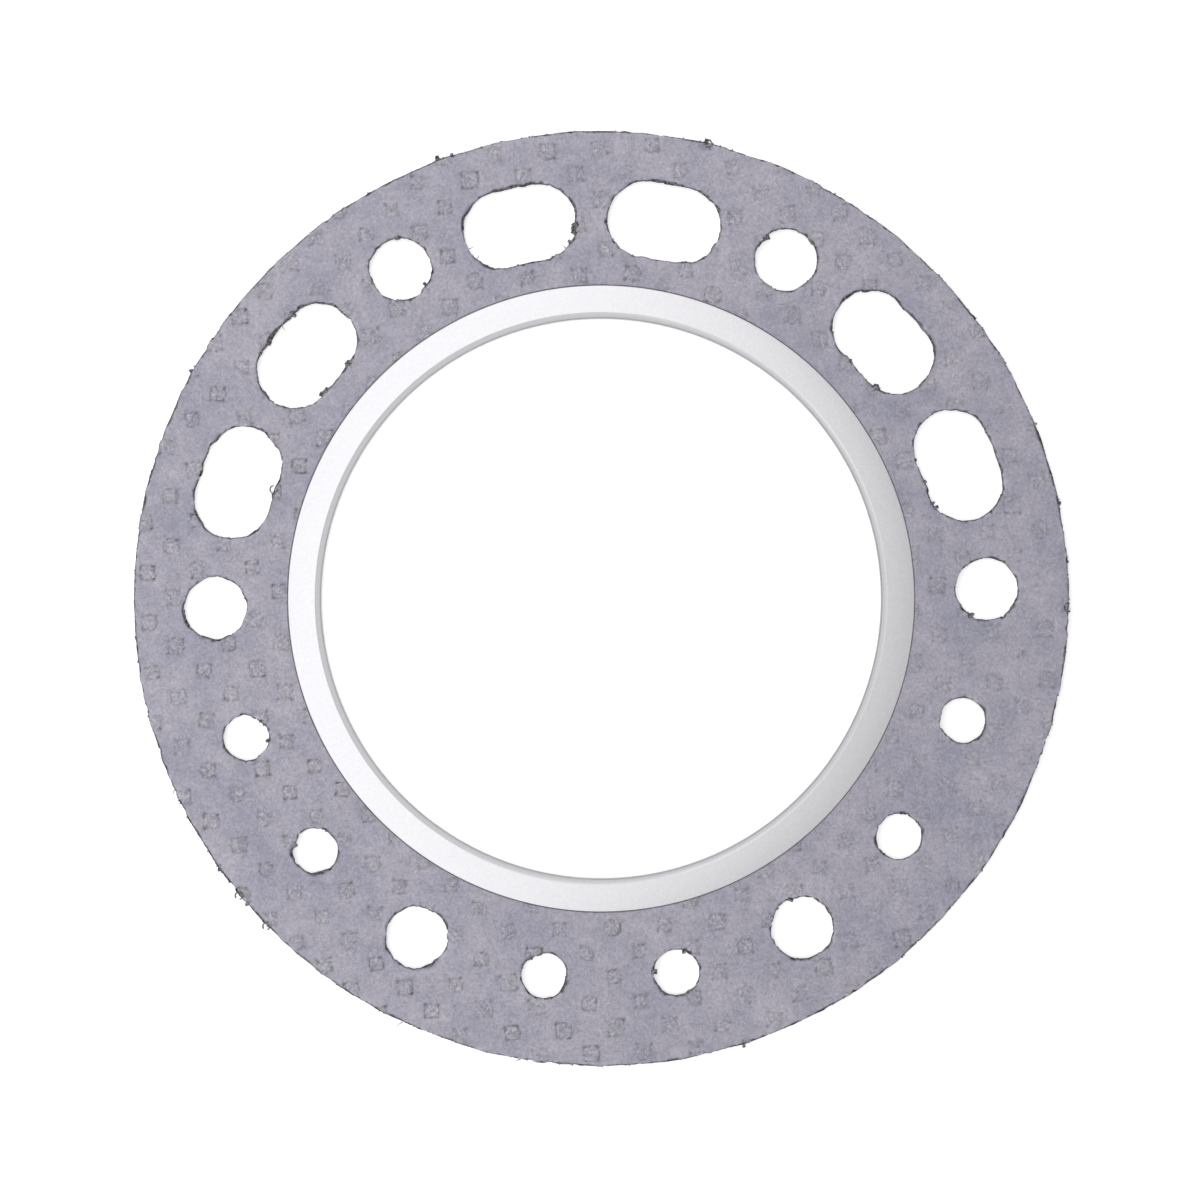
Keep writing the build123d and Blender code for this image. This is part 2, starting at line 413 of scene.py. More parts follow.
def draw_arc_slot(bm, cut, radius):
    """A closed loop from one vertex, spun round one end, along the outer side, round the other and back."""
    before = set(bm.edges)
    first_end = (*polar(cut.pitch_radius, cut.angle - cut.half_sweep), 0)
    last_end = (*polar(cut.pitch_radius, cut.angle + cut.half_sweep), 0)
    end_steps = round(pi * radius / EDGE_SPACING)
    side_steps = round(2 * cut.half_sweep * cut.pitch_radius / EDGE_SPACING)
    start = bm.verts.new((*polar(cut.pitch_radius - radius, cut.angle - cut.half_sweep), 0))
    tip = start
    for centre, angle, steps in ((first_end, pi, end_steps), ((0, 0, 0), 2 * cut.half_sweep, side_steps),
                                 (last_end, pi, end_steps), ((0, 0, 0), -2 * cut.half_sweep, side_steps)):
        spun = bmesh.ops.spin(bm, geom=[tip], cent=centre, axis=(0, 0, 1), angle=angle, steps=steps)
        tip = next(item for item in spun["geom_last"] if isinstance(item, bmesh.types.BMVert))
    bmesh.ops.remove_doubles(bm, verts=[start, tip], dist=MERGE)
    return [edge for edge in bm.edges if edge not in before]


def draw_outlines(bm, cuts):
    """The closed outlines of the flat sheet, by the cut that each goes round, or None for the outer edge."""
    loops = {"flange": draw_circle(bm, FLANGE_RADIUS + FLANGE_BAND, spacing=FLANGE_SPACING),
             None: draw_circle(bm, BODY_RADIUS - EDGE_BAND)}
    for cut in cuts:
        if cut.half_sweep:
            loops[cut] = draw_arc_slot(bm, cut, cut.radius + EDGE_BAND)
        else:
            loops[cut] = draw_circle(bm, cut.radius + EDGE_BAND, polar(cut.pitch_radius, cut.angle))
    return loops


def tear(x, y, seed):
    """How far a punched edge is torn in at a place, from -1 to 1."""
    place = Vector((x / MM, y / MM, seed))
    flats = 1 - 4 * abs(noise.noise(place / FLAT.length))  # which meet in corners
    dents = noise.noise(place / DENT.length)
    teeth = noise.noise(place / TOOTH.length)
    nick = NICK.depth if noise.cell(place / NICK.length) > NICK_LEVEL else 0
    torn = FLAT.depth * flats + DENT.depth * dents + TOOTH.depth * teeth + nick - TEAR_SHIFT
    return max(-1, min(1, torn))


# ---------------------------------------------------------------- facings

def make_mark(column, row):
    """How the tangs of one window show in the facing: a pressed square with four lobes, pits and spots.

    Columns and rows are counted in half pitches. Sizes are in millimetres, as in Spot and Mark."""
    random = Random(column * 1009 + row * 9176 + 77)  # a seed of its own for each mark
    sides = [random.choice((0.2, 0.6, 0.9, 1.2)) for _ in range(4)]
    pits = [random.choice((0, 0.4, 0.8, 1)) for _ in range(4)]
    spots = [Spot(x=random.uniform(-1.3, 1.3), y=random.uniform(-1.3, 1.3), radius=random.uniform(0.15, 0.34),
                  tone=random.choice((-0.5, -0.3, 0.4, 0.6, 0.8))) for _ in range(random.randint(2, 5))]
    x, y, turn = (random.uniform(-MARK_SHIFT, MARK_SHIFT) for _ in range(3))
    pressed = 1 - PRESS_FADE * max(0, min(1, column / FADE_COLUMNS))
    return Mark(x, y, turn, half=random.uniform(1.25, 1.6), corner=random.choice((2, 2.4, 3, 5)), sides=sides,
                pits=pits, spots=spots, pad=random.choice((-0.02, 0.02, 0.05, 0.07)),
                outline=random.choice((0.4, 0.7, 1)), strength=random.uniform(0.95, 1.4) * pressed)


class TangPattern:
    """Places of the tang marks, and their relief and tone at any point."""

    def __init__(self, sizes, seed):
        self.pitch = [pitch / MM for pitch in sizes.tang_pitch]
        self.origin = [place / MM for place in sizes.tang_origin]
        self.turn = sizes.tang_turn
        self.seed = seed
        self.marks = {}
        noise.seed_set(WARP_SEED)  # noise_vector takes its offsets from the clock otherwise

    def to_pattern(self, x, y):
        """From the gasket's metres to the pattern's millimetres."""
        x = x / MM - self.origin[0]
        y = y / MM - self.origin[1]
        return (x * cos(self.turn) + y * sin(self.turn), y * cos(self.turn) - x * sin(self.turn))

    def relief(self, x, y):
        """Height in metres, tone, and how wrinkled the facing is at a place, from the nearest mark."""
        along, across = self.to_pattern(x, y)
        half_x = self.pitch[0] / 2
        half_y = self.pitch[1] / 2
        columns = [2 * round(along / self.pitch[0]), 2 * round(along / self.pitch[0] - 0.5) + 1]
        rows = [2 * round(across / self.pitch[1]), 2 * round(across / self.pitch[1] - 0.5) + 1]
        offsets = [(along - column * half_x, across - row * half_y) for column, row in zip(columns, rows)]
        nearer = 0 if hypot(*offsets[0]) <= hypot(*offsets[1]) else 1
        key = (columns[nearer], rows[nearer])
        if key not in self.marks:
            self.marks[key] = make_mark(key[0], key[1] + 100 * self.seed)  # so that each sheet has its own
        mark = self.marks[key]
        place = Vector((along, across, self.seed * 7))
        warp = noise.noise_vector(place / WARP_LENGTH)
        x, y = offsets[nearer]
        x += WARP * warp.x - mark.x
        y += WARP * warp.y - mark.y
        x, y = x * cos(mark.turn) + y * sin(mark.turn), y * cos(mark.turn) - x * sin(mark.turn)
        return mark_relief(mark, x, y, WHOLE + BREAKS * noise.noise(place / BREAK_LENGTH))


def mark_relief(mark, x, y, whole):
    """Height in metres, tone and wrinkling of one mark, at a place in millimetres from its middle."""
    reach = (abs(x / mark.half) ** mark.corner + abs(y / mark.half) ** mark.corner) ** (1 / mark.corner)
    if reach > MARK_REACH:
        return 0, 0, 0
    groove = exp(-((reach - GROOVE.place) * mark.half / GROOVE.width) ** 2) * max(0, min(1, whole))
    inside = soft_step(1, reach, PAD_EDGE, PAD_STEEPNESS)
    height = mark.pad * inside + GROOVE.height * groove
    # The groove is darkened by a painted shade in it
    tone = PAD_TONE * inside + GROOVE.tone * groove * mark.outline
    # The four tangs push up a lobe each, and the facing is pinched between them at the corners
    for side, (away_x, away_y) in zip(mark.sides, ((1, 0), (0, 1), (-1, 0), (0, -1))):
        away = hypot(x - LOBE.place * away_x, y - LOBE.place * away_y)
        height += LOBE.height * side * exp(-(away / LOBE.width) ** 2)
    # The corner pits sink, and a painted shade darkens them
    for pit, (away_x, away_y) in zip(mark.pits, ((1, 1), (-1, 1), (-1, -1), (1, -1))):
        away = hypot(x - away_x * mark.half, y - away_y * mark.half)
        depth = pit * exp(-(away / PIT.width) ** 2)
        height += PIT.height * depth
        tone += PIT.tone * depth
    for spot in mark.spots:
        away = hypot(x - spot.x, y - spot.y)
        bump = exp(-(away / spot.radius) ** 2)
        height += SPOT_HEIGHT * bump * spot.tone
        tone += SPOT_TONE * spot.tone * bump
    wrinkle = soft_step(mark.strength, reach, WRINKLE_EDGE, WRINKLE_STEEPNESS)
    return min(height * mark.strength, HIGHEST_MARK) * MM, tone * mark.strength, wrinkle


def soft_step(level, reach, edge, steepness):
    """A level inside an edge of a mark, which falls softly to 0 outside it."""
    return level / (1 + exp((reach - edge) * steepness))


def pattern_lines(pitch, lines):
    """Offsets in metres of the ruled lines over the whole body, a set of them round each row of marks."""
    rows = round(BODY_RADIUS / (pitch / 2)) + 1
    return [row * pitch / 2 + line * MM for row in range(-rows, rows + 1) for line in lines]


def rule_sheet(bm, sizes, lines, cuts):
    """A flat grid ruled along the tang pattern, finest at the rims of the marks, and none near the edges."""
    columns = pattern_lines(sizes.tang_pitch[0], lines)
    rows = pattern_lines(sizes.tang_pitch[1], lines)
    grid = bmesh.ops.create_grid(bm, x_segments=len(columns) - 1, y_segments=len(rows) - 1, size=1)
    turn_cos, turn_sin = polar(1, sizes.tang_turn)
    for vert in grid["verts"]:
        along = columns[round((vert.co.x + 1) / 2 * (len(columns) - 1))]
        across = rows[round((vert.co.y + 1) / 2 * (len(rows) - 1))]
        x = sizes.tang_origin[0] + along * turn_cos - across * turn_sin
        y = sizes.tang_origin[1] + along * turn_sin + across * turn_cos
        vert.co = (x, y, 0)
        radius = hypot(x, y)
        vert.tag = (FLANGE_RADIUS + FLANGE_BAND + GRID_MARGIN < radius < BODY_RADIUS - EDGE_BAND
                    and nearest_edge(x, y, cuts)[1] > EDGE_BAND + GRID_MARGIN)
    cut_faces = [face for face in bm.faces if not all(vert.tag for vert in face.verts)]
    bmesh.ops.delete(bm, geom=cut_faces, context="FACES")


def fill_to_outlines(bm, cuts, loops):
    """Joins the ruled grid to the true outlines of the sheet with triangles, one outline at a time."""
    stairs = {outline: [] for outline in loops}
    for edge in bm.edges:
        if edge.is_boundary:
            x, y, _ = edge.verts[0].co
            at_flange = hypot(x, y) < FLANGE_RADIUS + FLANGE_REACH
            stairs["flange" if at_flange else nearest_edge(x, y, cuts)[0]].append(edge)
    for outline, edges in stairs.items():
        bmesh.ops.triangle_fill(bm, use_beauty=True, use_dissolve=False, edges=edges + loops[outline],
                                normal=(0, 0, 1))


def extrude_rim(bm, edges):
    """Extrudes boundary edges, and returns the new vertices and edges."""
    grown = bmesh.ops.extrude_edge_only(bm, edges=edges)["geom"]
    verts = [item for item in grown if isinstance(item, bmesh.types.BMVert)]
    fresh = set(verts)
    rims = [item for item in grown if isinstance(item, bmesh.types.BMEdge) and fresh.issuperset(item.verts)]
    return verts, rims


def edge_line(x, y, cuts, pattern):
    """How far into the sheet the edges of the core and of a facing lie at a place, from the nominal edge."""
    place = Vector((x / MM, y / MM, pattern.seed + 9))
    loose = pattern.relief(x, y)[2]  # where the edge runs through a tang window
    core = CORE_TEAR * tear(x, y, 0) - LOOSE_LUMP * loose
    if nearest_edge(x, y, cuts)[0] is None:
        core = max(BOX_MARGIN, core + CORE_TEAR)  # nothing stands out past the nominal outer edge
    chipped = MIDDLE_CHIP + CHIP_TEAR * tear(x, y, pattern.seed) + loose * noise.noise(place / CHIP_LENGTH)
    ledge = sum(share * max(0, noise.noise(place / length) - level) for length, level, share in LEDGES)
    facing = core + FACING_CHIP * max(LEAST_CHIP, chipped) + LEDGE * ledge
    return core, min(facing, EDGE_BAND - RIM_ROOM)


def make_facing(sizes, lines, outer_level, inner_level, seed):
    """One facing: a ruled sheet with tang marks, chipped cut edges, and a plain face against the core."""
    cuts = body_cuts(sizes)
    pattern = TangPattern(sizes, seed)
    outward = 1 if outer_level > inner_level else -1
    bm = bmesh.new()
    tone = bm.verts.layers.float.new("tone")
    wrinkle = bm.verts.layers.float.new("wrinkle")
    loops = draw_outlines(bm, cuts)
    rule_sheet(bm, sizes, lines, cuts)
    fill_to_outlines(bm, cuts, loops)
    for vert in bm.verts:
        height, vert[tone], vert[wrinkle] = pattern.relief(vert.co.x, vert.co.y)
        place = Vector((vert.co.x / MM, vert.co.y / MM, seed))
        height += (sum(wave * noise.noise(place / length) for length, wave in WAVES) - WAVE_DROP) * MM
        vert.co.z = outer_level + outward * height

    rims = [edge for edge in bm.edges if edge.is_boundary]
    at_ring = [edge for edge in rims if edge.verts[0].co.xy.length < FLANGE_RADIUS + FLANGE_REACH]
    at_cuts = [edge for edge in rims if edge.verts[0].co.xy.length >= FLANGE_RADIUS + FLANGE_REACH]
    for radius, drop, ring_shade in UNDER_FLANGE:
        verts, at_ring = extrude_rim(bm, at_ring)
        for vert in verts:
            vert.co.xy = vert.co.xy.normalized() * radius
            vert.co.z = outer_level - outward * drop
            vert[tone] = ring_shade
    # Rounded over and chipped at the cut edges, with a painted shade at the very edge that varies with the
    # tears
    for set_in, drop, edge_shade_and_tone in CUT_RIMS:
        verts, at_cuts = extrude_rim(bm, at_cuts)
        for vert in verts:
            x, y, _ = vert.co
            _, gap, inward = nearest_edge(x, y, cuts)
            move = edge_line(x, y, cuts, pattern)[1] + set_in - gap
            vert.co.x += inward[0] * move
            vert.co.y += inward[1] * move
            vert.co.z = outer_level - outward * drop
            torn = tear(x, y, pattern.seed + 5)
            vert[tone] = edge_shade_and_tone + RIM_TEAR_TONE * torn + RIM_MARK_TONE * vert[tone]
    # Walls down to the core, darkened by a painted shade
    verts, walls = extrude_rim(bm, at_cuts + at_ring)
    for vert in verts:
        vert.co.z = inner_level
        vert[tone] = WALL_SHADE
    bmesh.ops.triangle_fill(bm, use_beauty=False, use_dissolve=False, edges=walls, normal=(0, 0, -outward))
    bmesh.ops.recalc_face_normals(bm, faces=bm.faces[:])
    return bm


# ---------------------------------------------------------------- core

def make_core(sizes):
    """The core's own sheet and tangs, with torn cut edges and torn bits that hang on them."""
    cuts = body_cuts(sizes)
    pattern = TangPattern(sizes, 0)
    low, high = lower_high.z, upper_low.z
    bm = bmesh.new()
    bm.from_mesh(frame["nodes"]["tanged_core"].data)
    bmesh.ops.remove_doubles(bm, verts=bm.verts[:], dist=MERGE)
    for vert in bm.verts:
        if vert.co.z > high:
            vert.co.z = high + (vert.co.z - high) * TANG_SHARE
        elif vert.co.z < low:
            vert.co.z = low + (vert.co.z - low) * TANG_SHARE
    on_edge = {vert for vert in bm.verts if nearest_edge(vert.co.x, vert.co.y, cuts)[1] < ON_EDGE}
    by_cuts = {}
    for edge in bm.edges:
        level = abs(edge.verts[0].co.z - edge.verts[1].co.z) < ON_EDGE
        if level and on_edge.issuperset(edge.verts):
            by_cuts.setdefault(round(edge.calc_length() / EDGE_SPACING) - 1, []).append(edge)
    for count, edges in by_cuts.items():
        if count > 0:
            bmesh.ops.subdivide_edges(bm, edges=edges, cuts=count)
    random = Random(CORE_SEED)
    burrs = tear_core(bm, low, cuts, pattern, random)
    flakes, curls, rolls, strands = (
        [to_edge(bit, cuts, pattern) for bit in bits] for bits in (FLAKES, CURLS, ROLLS, STRANDS))
    for bit in burrs + flakes:
        add_bit(bm, make_flake(bit, random), bit, random.uniform(*FLAKE_TILTS))
    for bit in curls:
        curl = make_curl(bit, CURL_WIDTH * bit.size, radians(random.uniform(*CURL_SWEEPS)))
        add_bit(bm, curl, bit, random.uniform(*CURL_TILTS))
    for bit in rolls:
        add_bit(bm, make_curl(bit, ROLL_HEIGHT / MM, ROLL_SWEEP), bit, pi / 2, "X")
    for bit in strands:
        add_bit(bm, make_strand(bit), bit, random.uniform(*STRAND_TILTS))
    return bm


def tear_core(bm, low, cuts, pattern, random):
    """Tears the cut edges of the core, and returns the burrs to hang on its upper edges."""
    burrs = []
    for vert in bm.verts:
        x, y, z = vert.co
        _, gap, inward = nearest_edge(x, y, cuts)
        if gap < TORN_REACH:
            move = edge_line(x, y, cuts, pattern)[0] - gap
            vert.co.x += inward[0] * move
            vert.co.y += inward[1] * move
            if z > low and random.random() < BURR_SHARE * (1 + 2 * pattern.relief(x, y)[2]):
                turn = degrees(atan2(-inward[1], -inward[0])) + random.uniform(-BURR_TURN, BURR_TURN)
                burrs.append(Bit(vert.co.x / MM, vert.co.y / MM, turn, random.uniform(*BURR_SIZES)))
    return burrs


def to_edge(bit, cuts, pattern):
    """A torn bit, moved to where the core's edge really runs, so that it hangs on it."""
    x, y = bit.x * MM, bit.y * MM
    _, gap, inward = nearest_edge(x, y, cuts)
    move = edge_line(x, y, cuts, pattern)[0] - gap
    return bit._replace(x=(x + inward[0] * move) / MM, y=(y + inward[1] * move) / MM)


def make_flake(bit, random):
    """A thin chip with an uneven outline, bent a little."""
    flake = bmesh.new()
    bmesh.ops.create_circle(flake, cap_ends=True, segments=random.choice(FLAKE_SIDES),
                            radius=bit.size / 2 * MM)
    for vert in flake.verts:
        vert.co *= random.uniform(*FLAKE_REACHES)
        vert.co.y *= FLAKE_NARROWING
    grown = bmesh.ops.extrude_face_region(flake, geom=flake.faces[:])["geom"]
    upper = [item for item in grown if isinstance(item, bmesh.types.BMVert)]
    bmesh.ops.translate(flake, verts=upper, vec=(0, 0, random.uniform(*FLAKE_WALLS) * MM))
    for vert in flake.verts:
        vert.co.z += random.uniform(-FLAKE_BEND, FLAKE_BEND) * MM
    return flake


def make_curl(bit, width, sweep):
    """A narrow strip, curled round an axis along Y."""
    curl = bmesh.new()
    radius = bit.size / 2 * MM
    bmesh.ops.create_grid(curl, x_segments=1, y_segments=1, size=0.5)
    bmesh.ops.delete(curl, geom=curl.faces[:], context="FACES_ONLY")
    bmesh.ops.scale(curl, vec=(STRIP_WALL, width * MM, 1), verts=curl.verts[:])
    bmesh.ops.translate(curl, vec=(radius, 0, 0), verts=curl.verts[:])
    bmesh.ops.spin(curl, geom=curl.verts[:] + curl.edges[:], cent=(0, 0, 0), axis=(0, 1, 0), angle=-sweep,
                   steps=CURL_STEPS)
    bmesh.ops.holes_fill(curl, edges=[edge for edge in curl.edges if edge.is_boundary])
    return curl


def make_strand(bit):
    """A thin strand along X, tapered and bent."""
    strand = bmesh.new()
    turned = Matrix.Translation((bit.size / 2 * MM, 0, 0)) @ Matrix.Rotation(pi / 2, 4, "Y")
    bmesh.ops.create_cone(strand, cap_ends=True, segments=STRAND_SIDES, radius1=STRAND_RADII[0],
                          radius2=STRAND_RADII[1], depth=bit.size * MM, matrix=turned)
    sides = [edge for edge in strand.edges if edge.calc_length() > bit.size / 2 * MM]
    bmesh.ops.subdivide_edges(strand, edges=sides, cuts=STRAND_CUTS)
    for vert in strand.verts:
        vert.co.y += STRAND_BEND * (vert.co.x / (bit.size * MM)) ** 2
    return strand


def add_bit(bm, torn, bit, tilt, axis="Y"):
    """Sets a torn bit at its place near the upper face, inside the gasket's own box, and joins it on."""
    place = Matrix.Translation((bit.x * MM, bit.y * MM, upper_high.z - BIT_SINK))
    turned = place @ Matrix.Rotation(radians(bit.turn), 4, "Z") @ Matrix.Rotation(tilt, 4, axis)
    bmesh.ops.transform(torn, matrix=turned, verts=torn.verts[:])
    too_high = max(vert.co.z for vert in torn.verts) - (cad_box[1][2] - BOX_MARGIN)
    bmesh.ops.translate(torn, verts=torn.verts[:], vec=(0, 0, -max(0, too_high)))
    for vert in torn.verts:
        for side, (low, high) in enumerate(zip(*cad_box)):
            vert.co[side] = max(low + BOX_MARGIN, min(high - BOX_MARGIN, vert.co[side]))
    bmesh.ops.recalc_face_normals(torn, faces=torn.faces[:])
    mesh = bpy.data.meshes.new("torn_bit")
    torn.to_mesh(mesh)
    torn.free()
    bm.from_mesh(mesh)
    bpy.data.meshes.remove(mesh)


# ---------------------------------------------------------------- fire ring

def extrude_point(bm, tip, *places):
    """Draws on from a vertex to each place, and returns the last vertex."""
    for place in places:
        grown = bmesh.ops.extrude_vert_indiv(bm, verts=[tip])
        tip = grown["verts"][0]
        tip.co = place
    return tip


def draw_strip_side(bm, set_in):
    """One side of the folded strip in section, from its lower flange round the bore to its upper flange."""
    low, high = ring_low.z + set_in, ring_high.z - set_in
    middle = (low + high) / 2
    crown_x = BORE_RADIUS + FOLD_WIDTH
    shares = [step / FLANGE_STEPS for step in range(1, FLANGE_STEPS + 1)]
    flange = [(crown_x + (FLANGE_RADIUS - FLANGE_CHAMFER - crown_x) * share, FLANGE_FALL * share ** 3)
              for share in shares]
    chamfer = FLANGE_CHAMFER if set_in == 0 else 0
    flange.append((FLANGE_RADIUS, FLANGE_FALL + chamfer))
    lower = [(x, 0, low + fall) for x, fall in reversed(flange)]
    upper = [(x, 0, high - fall) for x, fall in flange]
    start = bm.verts.new(lower[0])
    tip = extrude_point(bm, start, *lower[1:], (crown_x, 0, low))
    radius = (high - low) / 2 / cos(FOLD_START)
    centre = (crown_x + radius * sin(FOLD_START), 0, middle)
    spun = bmesh.ops.spin(bm, geom=[tip], cent=centre, axis=(0, 1, 0), angle=pi - 2 * FOLD_START,
                          steps=FOLD_STEPS)
    tip = next(item for item in spun["geom_last"] if isinstance(item, bmesh.types.BMVert))
    stretch = (FOLD_WIDTH - set_in) / (radius * (1 - sin(FOLD_START)))
    for vert in bm.verts:
        if vert.co.x < crown_x and not vert.tag:
            vert.co.x = crown_x + (vert.co.x - crown_x) * stretch
        vert.tag = True
    return start, extrude_point(bm, tip, *upper)


def make_fire_ring():
    """Eyelet of one strip, folded round the edge of the sandwich, whose flanges fall towards their edge."""
    bm = bmesh.new()
    outside = draw_strip_side(bm, 0)
    inside = draw_strip_side(bm, RING_WALL)
    bm.edges.new((outside[0], inside[0]))
    bm.edges.new((outside[1], inside[1]))
    bmesh.ops.spin(bm, geom=bm.verts[:] + bm.edges[:], cent=(0, 0, 0), axis=(0, 0, 1), angle=2 * pi,
                   steps=RING_STEPS, use_merge=True)
    bmesh.ops.remove_doubles(bm, verts=bm.verts[:], dist=MERGE)
    bmesh.ops.recalc_face_normals(bm, faces=bm.faces[:])
    return bm


# ---------------------------------------------------------------- materials

# Sockets of a Mix node that mixes colours: the share of the second colour, the two colours, and the result
SHARE, FIRST, SECOND, MIXED = 0, 6, 7, 2


def add_node(tree, kind, inputs=None, **settings):
    """Adds a node. Each input is a value, or another node's output to link from."""
    node = tree.nodes.new(kind)
    for name, value in settings.items():
        setattr(node, name, value)
    for key, value in (inputs or {}).items():
        if isinstance(value, bpy.types.NodeSocket):
            tree.links.new(value, node.inputs[key])
        else:
            node.inputs[key].default_value = value
    return node


def new_material(name):
    """A material with an empty node tree, and the place on the piece that its patterns read."""
    material = bpy.data.materials.new(name)
    material.use_nodes = True
    tree = material.node_tree
    tree.nodes.clear()
    return material, tree, add_node(tree, "ShaderNodeTexCoord").outputs["Object"]


def creases(tree, place, size):
    """Fine creases, where a noise crosses its middle: 1 in a crease and 0 beside it."""
    level = add_node(tree, "ShaderNodeTexNoise", {"Vector": place, "Scale": 1 / size, "Detail": 3,
                                                  "Distortion": 0.8})
    above = add_node(tree, "ShaderNodeMath", {0: level.outputs["Fac"], 1: 0.5}, operation="SUBTRACT")
    away = add_node(tree, "ShaderNodeMath", {0: above.outputs[0]}, operation="ABSOLUTE")
    return add_node(tree, "ShaderNodeMapRange", {"Value": away.outputs[0], "From Min": 0.0, "From Max": 0.045,
                                                 "To Min": 1.0, "To Max": 0.0}).outputs["Result"]


def grained(tree, share, colour, grain, dark, light):
    """A colour with a share of a grain from dark to light grey laid over it."""
    greys = add_node(tree, "ShaderNodeMix", {SHARE: grain, FIRST: linear(dark), SECOND: linear(light)},
                     data_type="RGBA").outputs[MIXED]
    return add_node(tree, "ShaderNodeMix", {SHARE: share, FIRST: colour, SECOND: greys}, data_type="RGBA",
                    blend_type="OVERLAY").outputs[MIXED]


def pressed_fibre(finish):
    """Compressed aramid and graphite sheet: grey with a lilac cast and a faint sheen, mottled, flecked with
    short pale and dark fibres, and creased where the tangs are pressed into it, with painted shade in its
    creases, grooves, pits, rims and walls."""
    material, tree, place = new_material("pressed_fibre")
    tone = add_node(tree, "ShaderNodeAttribute", attribute_name="tone").outputs["Fac"]
    wrinkle = add_node(tree, "ShaderNodeAttribute", attribute_name="wrinkle").outputs["Fac"]
    # Large and small clouds, lumps of pulp, and single fibres, by their size in millimetres
    patch, small_patch, lumps, fleck = (
        add_node(tree, "ShaderNodeTexNoise", {"Vector": place, "Scale": 1 / (size * MM), "Detail": detail,
                                              "Distortion": distortion}).outputs["Fac"]
        for size, detail, distortion in ((16, 2, 0), (5, 2, 0), (1.6, 3, 0.5), (0.5, 2, 0.4)))
    cloud = add_node(tree, "ShaderNodeMix", {SHARE: 0.5, FIRST: small_patch, SECOND: patch}, data_type="RGBA")
    spread = add_node(tree, "ShaderNodeMapRange", {"Value": cloud.outputs[MIXED], "From Min": 0.31,
                                                   "From Max": 0.69})
    mottled = add_node(tree, "ShaderNodeMix", {
        SHARE: spread.outputs["Result"], FIRST: tuple(finish.fibre_shade), SECOND: tuple(finish.fibre_light)
    }, data_type="RGBA")
    colour = mottled.outputs[MIXED]
    for share, grain in ((0.25, lumps), (0.5, fleck)):
        colour = grained(tree, share, colour, grain, "#3C3C3C", "#DADADA")
    # Creases, which the bump sinks and which, inside the marks, a painted shade darkens
    crease = creases(tree, place, 0.8 * MM)
    mark_crease = add_node(tree, "ShaderNodeMath", {0: crease, 1: wrinkle}, operation="MULTIPLY",
                           use_clamp=True).outputs[0]
    pale_fleck = add_node(tree, "ShaderNodeMapRange", {"Value": fleck, "From Min": 0.5, "From Max": 0.64,
                                                       "To Max": 0.2}).outputs["Result"]
    # The marks: a green tint of adhesive from the tangs, painted shade where the tone is below 0, pale
    # flecks, painted shade in the creases, and a lightening where the tone is above 0
    for where, strength, tint in ((wrinkle, 0.06, "#A6A7A0"), (tone, -1.0, "#454448"),
                                  (wrinkle, pale_fleck, "#D0CFD2"), (mark_crease, 0.12, "#5A595C"),
                                  (tone, 0.5, "#CFCED2")):
        share = add_node(tree, "ShaderNodeMath", {0: where, 1: strength}, operation="MULTIPLY",
                         use_clamp=True).outputs[0]
        colour = add_node(tree, "ShaderNodeMix", {SHARE: share, FIRST: colour, SECOND: linear(tint)},
                          data_type="RGBA").outputs[MIXED]
    uneven = add_node(tree, "ShaderNodeMath", {0: lumps, 1: 1.6, 2: fleck}, operation="MULTIPLY_ADD")
    faint = add_node(tree, "ShaderNodeMath", {0: crease, 1: 0.35}, operation="MULTIPLY", use_clamp=True)
    depth = add_node(tree, "ShaderNodeMath", {0: mark_crease, 1: 0.5, 2: faint.outputs[0]},
                     operation="MULTIPLY_ADD")
    sunk = add_node(tree, "ShaderNodeMath", {0: uneven.outputs[0], 1: depth.outputs[0]}, operation="SUBTRACT")
    bump = add_node(tree, "ShaderNodeBump", {"Strength": 0.9, "Distance": 0.11 * MM,
                                             "Height": sunk.outputs[0]}).outputs["Normal"]
    shader = add_node(tree, "ShaderNodeBsdfPrincipled", {"Base Color": colour, "Roughness": 0.5, "IOR": 1.5,
                                                         "Normal": bump})
    add_node(tree, "ShaderNodeOutputMaterial", {"Surface": shader.outputs["BSDF"]})
    return material


def sheared_steel(finish):
    """Cold-rolled core strip, sheared and dull with oil: mid grey, near black in the scores of the cut."""
    material, tree, place = new_material("sheared_steel")
    score = add_node(tree, "ShaderNodeTexNoise", {"Vector": place, "Scale": 1 / (0.5 * MM),
                                                  "Detail": 3}).outputs["Fac"]
    shade = add_node(tree, "ShaderNodeMapRange", {"Value": score, "From Min": 0.4, "From Max": 0.62})
    colour = add_node(tree, "ShaderNodeMix", {SHARE: shade.outputs["Result"], FIRST: linear("#403F42"),
                                              SECOND: tuple(finish.steel)}, data_type="RGBA").outputs[MIXED]
    bump = add_node(tree, "ShaderNodeBump", {"Strength": 0.5, "Distance": 0.05 * MM,
                                             "Height": score}).outputs["Normal"]
    shader = add_node(tree, "ShaderNodeBsdfPrincipled", {"Base Color": colour, "Metallic": 0.6,
                                                         "Roughness": 0.42, "Normal": bump})
    add_node(tree, "ShaderNodeOutputMaterial", {"Surface": shader.outputs["BSDF"]})
    return material


